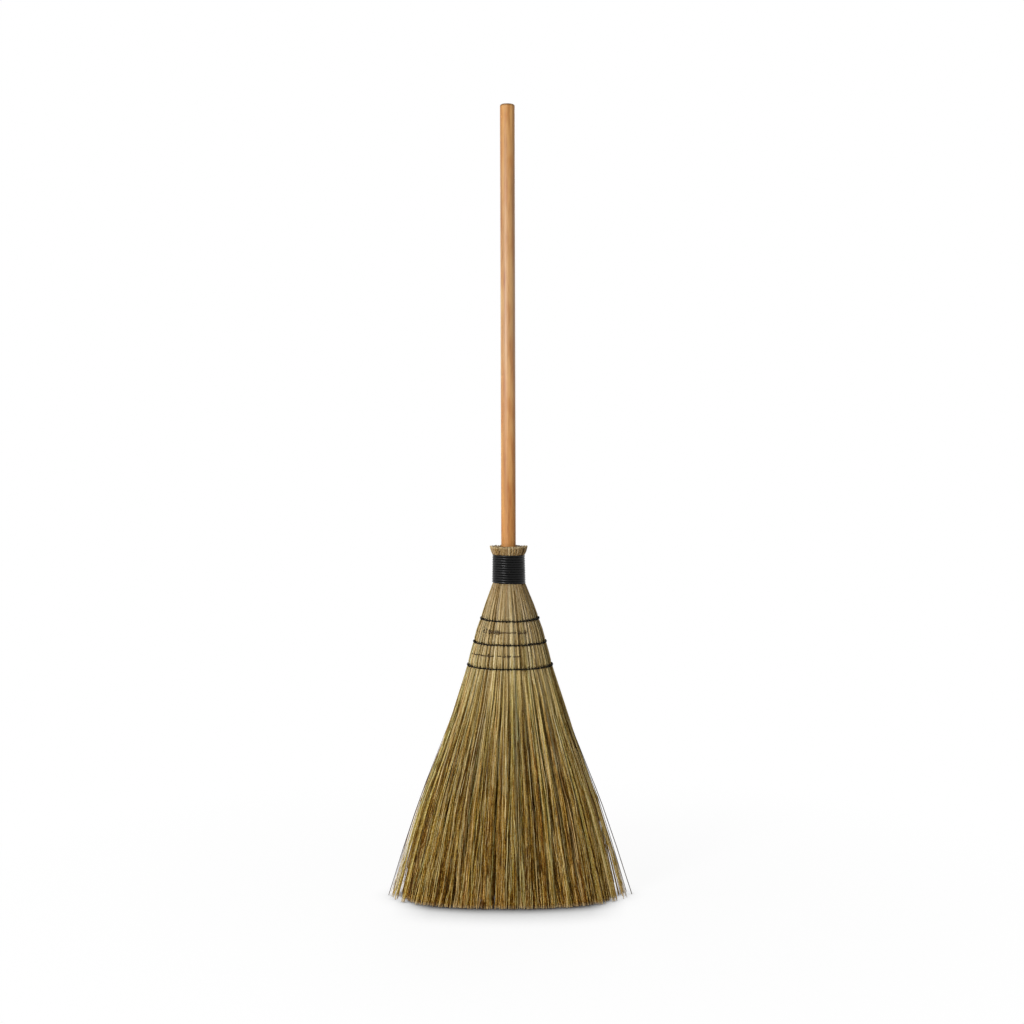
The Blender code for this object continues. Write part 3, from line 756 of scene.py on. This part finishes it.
def branch_lines(rng, parents, count):
    """Finer fibres that part from the others on their way down. Some reach the floor."""
    turn, depth, height = parents
    shares = np.array([0.0, 0.1, 0.22, 0.35, 0.5, 0.65, 0.8, 0.92, 1.0])
    reaching, spread, bow, outermost = 0.55, math.radians(1.8), 0.0011, -0.0022
    parent = rng.integers(0, len(turn), count)
    top = rng.uniform(0.09, 0.36, count)
    bottom = np.where(rng.uniform(size=count) < reaching, tip_heights(rng, count),
                      top * rng.uniform(0.05, 0.75, count))
    level = levels_between(top, bottom, shares)
    new_turn, new_depth = np.empty_like(level), np.empty_like(level)
    rising = slice(None, None, -1)
    for k, p in enumerate(parent):
        new_turn[k] = np.interp(level[k], height[p, rising], turn[p, rising])
        new_depth[k] = np.interp(level[k], height[p, rising], depth[p, rising])
    drop = top[:, None] - level
    slope = rng.normal(0, math.tan(spread), (count, 1))
    bow = rng.normal(0, bow, (count, 1)) * np.sin(math.pi * shares)
    new_turn = to_turn(to_length(new_turn) + slope * drop + bow)
    new_depth = new_depth - drop * rng.uniform(-0.02, 0.028, (count, 1))
    return new_turn, np.maximum(new_depth, outermost), level


def nearness_to_end(turn):
    """1 at the two ends of the sweep, and soon 0 away from them."""
    return np.abs(np.cos(turn)) ** 6


def stray_lines(rng, span, count):
    """A few thin fibres that stand out from the rest towards the floor."""
    shares = np.array([0, 0.12, 0.25, 0.4, 0.55, 0.7, 0.85, 1.0])
    start_depth, end_reach, least_gap = 0.0015, 0.0205, 0.0004
    top = rng.uniform(0.16, 0.33, count)
    bottom = np.abs(rng.normal(0, 0.006, count)) + least_gap
    height = levels_between(top, bottom, shares)
    turn = rng.uniform(span[0], span[1], (count, 1)) + 0 * height
    reach = rng.uniform(0.001, 0.0035, (count, 1))
    reach = reach + nearness_to_end(turn[:, :1]) * rng.uniform(0, end_reach, (count, 1))
    fall = (top[:, None] - height) / top[:, None]
    depth = start_depth - (start_depth + reach) * fall**1.2
    return turn, depth + waves(rng, height, 0.0010, 10, 30) * fall, height


def wisp_lines(rng, turn, reach, count):
    """Fibres that stand out together from the rest towards the floor."""
    shares = np.array([0.0, 0.12, 0.24, 0.36, 0.48, 0.60, 0.72, 0.84, 0.93, 1.0])
    highest, start_depth, width, thickness = 0.31, 0.0030, 0.0035, 0.0019
    top = rng.uniform(0.24, highest, count)
    height = levels_between(top, tip_heights(rng, count), shares)
    fall = (highest - height) / highest
    along = to_length(turn) + rng.normal(0, width, (count, 1)) * fall
    along = along + waves(rng, height, 0.0008, 10, 40)
    depth = start_depth - (start_depth + reach) * fall**1.3
    if count > 2:
        depth = depth + rng.uniform(-thickness, thickness, (count, 1)) * fall
    return to_turn(along), depth, height


def fibre_tones(rng, count, middle=0.5, spread=TONE_SPREAD):
    """A tone and a hue for each fibre. Some are much darker or paler than the rest."""
    dark_share, pale_share = 0.10, 0.06
    tone = rng.normal(middle, spread, count)
    dark = rng.uniform(size=count) < dark_share
    pale = rng.uniform(size=count) < pale_share
    dark_tone = rng.uniform(0.02, 0.2, count)
    pale_tone = rng.uniform(0.85, 1, count)
    tone = np.where(dark, dark_tone, np.where(pale, pale_tone, tone))
    return tone.clip(0, 1), rng.beta(1.6, 1.8, count)


def add_fibres(tubes, rng, lines, radius, tone, hue, girth=FIBRE_GIRTH, sides=FIBRE_SIDES):
    paths = head_points(*lines)
    count = len(paths)
    tubes.add(
        paths, radius[:, None] * by_height(girth, lines[2]), outward_at(paths), sides, tone, hue,
        spin=rng.uniform(0, FULL_TURN, count), flat=rng.uniform(0.7, 1.0, count),
    )


def make_outer_bundle(number, borders, clumps):
    rng = np.random.default_rng(OUTER_SEED + number)
    span = borders[number - 1], borders[number]
    cuts = [0, SPLIT_BUNDLES[number], 1] if number in SPLIT_BUNDLES else [0, 1]
    length = to_length(span[1]) - to_length(span[0])
    # Partly painted light: the bundles at the right end are made paler
    middle = rng.normal(0.5, BUNDLE_TONE_SPREAD) + BUNDLE_TONES_AND_PAINTED_LIGHT.get(number, 0)
    bundle_hue = rng.normal(0, BUNDLE_HUE_SPREAD)
    tubes = Tubes()

    def tints(lines, middle, spread=TONE_SPREAD):
        """Tones and hues that change slowly round the sweep, and from fibre to fibre."""
        tone, hue = fibre_tones(rng, len(lines[0]), middle, spread)
        along = to_length(lines[0][:, -1])
        tone = tone + CLUMP_TONE * clumps.tint(along)
        slow_hue = CLUMP_HUE * clumps.tint(along + PERIMETER / 2)
        hue = 0.5 + HUE_SPREAD * (hue - 0.5) + bundle_hue + slow_hue
        return tone.clip(0, 1), hue.clip(0, 1)

    # Stems, which run from the cut ends in the collar to the tips
    count = STEMS_PER_BUNDLE
    share = (np.arange(count) + 0.5 + rng.uniform(-0.36, 0.36, count)) / count
    lines = fibre_lines(rng, clumps, share, cuts, span, rng.uniform(0, 0.35, count))
    lines[2][:, 0] += rng.uniform(-0.0016, 0.0010, count)
    tone, hue = tints(lines, middle + STEM_TONE)
    radius = STEM_RADIUS * rng.uniform(0.82, 1.15, count)
    add_fibres(tubes, rng, lines, radius, tone, hue, STEM_GIRTH, STEM_SIDES)

    # Finer fibres, which come up between them lower down
    for first, part in STARTS:
        count = round(length * FIBRES_PER_METRE * part)
        depth_share = rng.uniform(0, 1, count) ** 1.6
        share = rng.uniform(0, 1, count)
        lines = fibre_lines(rng, clumps, share, cuts, span, depth_share, first)
        tone, hue = tints(lines, middle)
        radius = np.exp(rng.normal(0, FIBRE_RADIUS_SPREAD, count)).clip(0.55, 1.7)
        # Deeper fibres are darker: painted shade under the outer ones
        tone = (tone + DEEP_PAINTED_SHADE * depth_share).clip(0, 1)
        add_fibres(tubes, rng, lines, FIBRE_RADIUS * radius, tone, hue)

        # Their branches
        count = round(length * BRANCHES_PER_METRE * part)
        lines = branch_lines(rng, lines, count)
        tone, hue = tints(lines, middle + BRANCH_TONE)
        radius = BRANCH_RADIUS * rng.uniform(0.7, 1.25, count)
        add_fibres(tubes, rng, lines, radius, tone, hue)

    # Fibres that stand out
    count = STRAYS + round(STRAYS_AT_ENDS * nearness_to_end(sum(span) / 2))
    lines = stray_lines(rng, span, count)
    radius = FIBRE_RADIUS * rng.uniform(0.75, 1.2, count)
    tone, hue = rng.uniform(0.1, 0.9, count), rng.uniform(0.1, 0.6, count)
    add_fibres(tubes, rng, lines, radius, tone, hue)
    for degrees, reach, count, tone, girth in WISPS:
        turn = math.radians(degrees)
        if span[0] <= turn < span[1]:
            lines = wisp_lines(rng, turn, reach, count)
            tone = rng.normal(tone, WISP_TONE_SPREAD, count).clip(0, 1)
            radius = FIBRE_RADIUS * girth * rng.uniform(0.8, 1.2, count)
            add_fibres(tubes, rng, lines, radius, tone, rng.uniform(0, 0.45, count))

    # A few coarser fibres near the outside, below the last row
    count = round(length * COARSE_PER_METRE)
    share = rng.uniform(0, 1, count)
    depth_share = rng.uniform(0, 0.25, count)
    lines = fibre_lines(rng, clumps, share, cuts, span, depth_share, STARTS[-1][0])
    tone, hue = tints(lines, middle, COARSE_TONE_SPREAD)
    radius = COARSE_RADIUS * rng.uniform(0.85, 1.2, count)
    add_fibres(tubes, rng, lines, radius, tone, hue)
    return tubes


def fill_collar(outer, inner, borders):
    """Short lengths of stem behind the outer ones, in rings that fill the collar to the handle.
    The outer bundles hold the first rings, and the inner bundles the others."""
    rng = np.random.default_rng(COLLAR_SEED)
    heights = np.array([0.5782, 0.5745, 0.5700, 0.5660, 0.5625, 0.5580])
    outside, hole = by_height(OUTLINE, heights), 0.0126
    rings, outer_rings, spacing, stem_radius = 10, 6, 0.00168, 0.00078
    taper = np.linspace(1, 0.72, len(heights))
    for ring in range(rings):
        share = (ring + 1.3) / (rings + 1)
        spread = outside[0] - (outside[0] - hole) * share
        count = round(FULL_TURN * spread / spacing)
        places = np.arange(count) + 0.5 * (ring % 2) + rng.uniform(-0.3, 0.3, count)
        turns = FULL_TURN * places / count % FULL_TURN
        share = (share + rng.uniform(-0.3, 0.3, count) / rings).clip(0.06, 0.98)[:, None]
        radii = outside - (outside - hole) * share
        level = np.broadcast_to(heights, (count, len(heights))).copy()
        level[:, 0] += rng.uniform(-0.0024, 0.0012, count)
        across, out = np.cos(turns)[:, None], np.sin(turns)[:, None]
        paths = np.stack([radii * across, radii * out, level], -1)
        tone, hue = fibre_tones(rng, count, spread=0.17)
        width = stem_radius * rng.uniform(0.8, 1.15, count)
        spin = rng.uniform(0, FULL_TURN, count)
        for k in range(count):
            if ring < outer_rings:
                owner = outer[int(np.searchsorted(borders, turns[k], side="right")) - 1]
            else:
                owner = inner[int(turns[k] / FULL_TURN * INNER_BUNDLES)]
            one = slice(k, k + 1)
            owner.add(
                paths[one], width[one, None] * taper, outward_at(paths[one]), STEM_SIDES,
                tone[one], hue[one], spin[one],
            )


def inner_fibres(number):
    """Fibres inside the sweep, which close the gaps between the outer ones."""
    rng = np.random.default_rng(INNER_SEED + number)
    shares = np.array([0, 0.1, 0.25, 0.45, 0.65, 0.82, 0.93, 1.0])
    count, tip_spread = INNER_FIBRES, 0.003
    turn = FULL_TURN * (number - 1 + rng.uniform(0, 1, count)) / INNER_BUNDLES
    out = np.sqrt(rng.uniform(0.02, 1, count))
    tops, tips = np.full(count, 0.403), tip_heights(rng, count)
    start, end = (
        np.stack([wide * out * np.cos(turn), deep * out * np.sin(turn), level], -1)
        for wide, deep, level in ((0.047, 0.038, tops), (0.146, 0.056, tips))
    )
    end[:, :2] += rng.normal(0, tip_spread, (count, 2))
    paths = start[:, None] + (end - start)[:, None] * shares[:, None]
    # Darker tones than the outer fibres: painted shade inside the sweep
    tone, hue = fibre_tones(rng, count, middle=0.36, spread=0.16)
    radius = FIBRE_RADIUS * rng.uniform(0.9, 1.5, count)
    tubes = Tubes()
    tubes.add(
        paths, radius[:, None] * by_height(FIBRE_GIRTH, paths[..., 2]), outward_at(paths),
        FIBRE_SIDES, tone, hue, rng.uniform(0, FULL_TURN, count),
    )
    return tubes


# Cords

def length_round(height):
    return np.interp(FULL_TURN, *round_lengths(height))


def even_turns(height, count, offset=0.0):
    """Turns the same distance apart along the head's outside."""
    turns, lengths = round_lengths(height)
    return np.interp((np.arange(count) + offset) / count * length_round(height), lengths, turns)


def add_stitches(tubes, turns, height, path, scale, radius, moved=0.0):
    """A stitch at each turn. scale has each one's factors for the path's three directions."""
    place = head_points(turns, 0.0, height)
    out = outward_at(place)
    along = np.cross(UP, out)
    parts = (path * scale)[..., None]
    paths = (
        place[:, None] + parts[..., 0, :] * along[:, None] + parts[..., 1, :] * UP
        + parts[..., 2, :] * out[:, None] + moved
    )
    tubes.add(paths, radius, np.broadcast_to(along[:, None], paths.shape), 6)


def make_row(number, height, material):
    """A black sewn row: a cord laid round the head, and a stitch over it every few millimetres."""
    rng = np.random.default_rng(ROW_SEED + number)
    around = length_round(height)
    stitches = round(around / STITCH_SPACING)
    tubes = Tubes()

    # Laid cord of two twisted strands
    per_stitch, bends, bend_size = 12, 24, 0.00022
    strand_place, strand_radius = 0.00048, 0.00063
    steps = stitches * per_stitch
    turns = even_turns(height, steps)
    wave = np.cos(FULL_TURN * np.arange(steps) / per_stitch)
    wander = rng.normal(0, bend_size, bends)
    wander = np.interp(np.arange(steps), np.linspace(0, steps, bends), wander)
    wander[-per_stitch:] = np.linspace(wander[-per_stitch], wander[0], per_stitch)
    level = height + wander - ROW_SAG * np.sin(turns) ** 2
    base = head_points(turns, -0.0003 - 0.0002 * wave, level)[None]
    out = outward_at(base)
    twist = FULL_TURN * np.arange(steps) / steps * round(around / TWIST_LENGTH)
    for phase in (0, math.pi):
        strand = base + strand_place * (
            np.cos(twist + phase)[:, None] * out[0] + np.sin(twist + phase)[:, None] * UP
        )
        tubes.add(strand, strand_radius, out, 8, closed=True, columns=stitches // 2)

    turns = even_turns(height, stitches, 0.5)
    scale = rng.uniform(0.9, 1.12, (stitches, 1, 1))
    level = height - ROW_SAG * np.sin(turns) ** 2
    add_stitches(tubes, turns, level, STITCH_PATH, scale, STITCH_RADIUS)
    return tubes.build(f"stitch_cord_{number}", material)


def make_thin_row(number, height, material):
    """A thin thread that dips in and out of the fibres, with a few upright stitches."""
    rng = np.random.default_rng(THIN_ROW_SEED + number)
    around = length_round(height)
    knots, per_knot = round(around / THIN_SPACING), 6
    steps = knots * per_knot
    turns = even_turns(height, steps)
    hidden_depth, rise_spread = 0.0042, 0.00045
    shown = by_height(THIN_ROW_SHOWN[number - 1], np.degrees(turns[::per_knot]))
    shown = rng.uniform(size=knots) < shown
    dips = np.where(shown, rng.uniform(-0.0008, 0.0001, knots), hidden_depth)
    rises = rng.normal(0, rise_spread, knots)
    depth, rise = (
        np.interp(np.arange(steps) / per_knot, np.arange(knots + 1), np.append(row, row[0]))
        for row in (dips, rises)
    )
    path = head_points(turns, depth, height + rise)[None]
    tubes = Tubes()
    tubes.add(path, THIN_CORD_RADIUS, outward_at(path), 7, closed=True, columns=knots // 4)

    turns = np.radians(THIN_ROW_STITCHES[number - 1])
    count, girth, unevenness = len(turns), 0.8, 0.0004
    scale = np.ones((count, 1, 3))
    scale[..., 1] = rng.uniform(0.5, 1.0, (count, 1))
    moved = rng.normal(0, unevenness, (count, 1, 3))
    level = np.full(count, height)
    add_stitches(tubes, turns, level, THIN_STITCH_PATH, scale, girth * THIN_CORD_RADIUS, moved)
    return tubes.build(f"thin_thread_{number}", material)


def make_winding(material):
    """One waxed cord wound round the neck. Its two ends are tucked under the last turns."""
    # The ends lie at the back, so that the front has whole turns
    start, per_turn, sides = 1.9, 150, 18
    pitch = (NECK_TOP - NECK_BOTTOM - 2 * WINDING_RADIUS) / (WINDING_TURNS - 1)
    first = (FULL_TURN + FRONT - start) / FULL_TURN
    top = NECK_TOP - WINDING_RADIUS + first * pitch
    bottom = top - WINDING_TURNS * pitch
    steps = WINDING_TURNS * per_turn + 1
    share = np.linspace(0, 1, steps)
    turns = start + FULL_TURN * WINDING_TURNS * share
    height = top + (bottom - top) * share
    tuck_length, tuck_depth = 0.12 * per_turn, 0.0034
    from_end = np.minimum(np.arange(steps), np.arange(steps)[::-1])
    tuck = (1 - from_end / tuck_length).clip(0, 1) ** 1.5
    radius = np.interp(height, (bottom, top), (0.0261, 0.0251)) - tuck_depth * tuck
    right = by_height(LEAN, height) + radius * np.cos(turns)
    path = np.stack([right, radius * np.sin(turns), height], -1)[None]
    tubes = Tubes()
    tubes.add(path, WINDING_RADIUS, unit(path * (1, 1, 0)), sides, flat=WINDING_FLATNESS,
              columns=WINDING_TURNS)

    # The plies show as shallow slanting ribs
    relief, sinking = 0.045, 0.02
    points = tubes.points[0].reshape(steps, sides, 3)
    angle = FULL_TURN * np.arange(sides) / sides
    rib = np.cos(PLIES * angle[None] - FULL_TURN * lengths_along(path[0])[:, None] / PLY_LENGTH)
    points += (points - path[0][:, None]) * (relief * rib - sinking)[..., None]
    tubes.points[0] = points.reshape(-1, 3)
    return tubes.build("neck_cord", material)


# Stage

def make_floor():
    """A pale floor that fades to plain white away from the broom. Near it a little of the lamps'
    real shadow shows, and its white glow carries a painted contact shadow.
    """
    mesh = bpy.data.meshes.new("floor")
    half = FLOOR_HALF_SIZE
    corners = [(-half, -half, 0), (half, -half, 0), (half, half, 0), (-half, half, 0)]
    mesh.from_pydata(corners, [], [(0, 1, 2, 3)])
    n = new_material("pale_floor")
    mesh.materials.append(n.finish(n.ramp(n.noise(3.0), ((0.3, 0.95), (0.7, 0.97))), 0.9, 0.1))
    distance = n.node("ShaderNodeVectorMath", {0: n.place()}, operation="LENGTH")
    plain = n.span(distance.outputs["Value"], *FLOOR_FADE, 0.92, 1.0)
    place = n.axes()
    aside = n.span(n.math("ABSOLUTE", place["X"]), 0.13, 0.19, 1.0, 0.0)
    before = n.math("MULTIPLY", aside, n.span(place["Y"], -0.03, -0.08))
    # Painted shadow: ambient occlusion darkens the white glow, more so before the broom
    shadow = 1.0
    for reach, start, full, dark, front in FLOOR_PAINTED_SHADOWS:
        near = n.node("ShaderNodeAmbientOcclusion", {"Distance": reach}, samples=6)
        part = n.span(near.outputs["AO"], full, start, dark, 1.0)
        if front:
            part = n.math("ADD", 1.0, n.math("MULTIPLY", before, n.math("SUBTRACT", part, 1.0)))
        shadow = n.math("MULTIPLY", shadow, part)
    white = n.node("ShaderNodeEmission", {"Color": shadow})
    n.show(n.math("MULTIPLY", n.seen_directly(), plain), n.shader, white)
    floor = place_in_scene("floor", mesh)


def make_world():
    """Soft light from all round, which is seen as white."""
    n = Nodes(bpy.data.worlds.new("studio"), "Background", "World Output")
    n.feed(n.shader, {"Color": (1, 1, 1), "Strength": WORLD_LIGHT})
    white = n.node("ShaderNodeBackground", {"Color": (1, 1, 1), "Strength": 1.0})
    n.show(n.seen_directly(), n.shader, white)
    bpy.context.scene.world = n.owner


def make_lamp(name, place, target, width, height, power, glossy):
    lamp = bpy.data.lights.new(name, "AREA")
    lamp.shape = "RECTANGLE" if height else "DISK"
    lamp.size = width
    lamp.size_y = height or width
    lamp.energy = power
    item = place_in_scene(name, lamp)
    item.location = place
    item.visible_glossy = glossy
    item.rotation_euler = (Vector(target) - Vector(place)).to_track_quat("-Z", "Y").to_euler()


def make_camera():
    camera = bpy.data.cameras.new("camera")
    camera.sensor_width = CAMERA_SENSOR
    camera.lens = CAMERA_LENS
    item = place_in_scene("camera", camera)
    item.location = CAMERA_PLACE
    level = Matrix.Rotation(math.pi / 2 - CAMERA_PITCH, 3, "X")
    item.rotation_euler = (level @ Matrix.Rotation(CAMERA_ROLL, 3, "Z")).to_euler()
    bpy.context.scene.camera = item


# The broom

def stand_for(piece, node):
    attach(piece, "root")
    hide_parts(node)


make_camera()
make_world()
make_floor()
for name, lamp in LAMPS.items():
    make_lamp(name, *lamp)

borders, clumps = bundle_borders(), Clumps()
outer_fibre = fibre_material("outer_fibre")
# Painted shade: the inner fibres are darker all over
inner_fibre = fibre_material("inner_fibre", 0.8)
outer = [make_outer_bundle(number + 1, borders, clumps) for number in range(OUTER_BUNDLES)]
inner = [inner_fibres(number + 1) for number in range(INNER_BUNDLES)]
fill_collar(outer, inner, borders)
for number, tubes in enumerate(outer, 1):
    piece = tubes.build(f"outer_fibres_{number:02d}", outer_fibre)
    stand_for(piece, f"outer_bundle_{number:02d}")
for number, tubes in enumerate(inner, 1):
    piece = tubes.build(f"inner_fibres_{number}", inner_fibre)
    stand_for(piece, f"inner_bundle_{number}")

black = cord_material("black_cord", srgb(7, 6, 5), srgb(17, 15, 12), 0.70, 0.08)
waxed = cord_material("waxed_black_cord", srgb(2, 2, 2), srgb(6, 6, 6), 0.31, 0.175)
natural = cord_material("brown_thread", srgb(42, 31, 19), srgb(82, 64, 40), 0.7, 0.2)
stand_for(make_winding(waxed), "neck_winding")
for number, height in enumerate(ROW_HEIGHTS, 1):
    stand_for(make_row(number, height, black), f"stitch_row_{number}")
for number, height in enumerate(THIN_ROW_HEIGHTS, 1):
    stand_for(make_thin_row(number, height, natural), f"thin_row_{number}")

wood, steel = wood_material(), steel_material()
own_looks = {"handle": wood, "inner_binding": steel, "nail_1": steel, "nail_2": steel}
for name, material in own_looks.items():
    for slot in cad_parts[name].material_slots:
        slot.material = material

scene = bpy.context.scene
scene.view_settings.view_transform = "Standard"
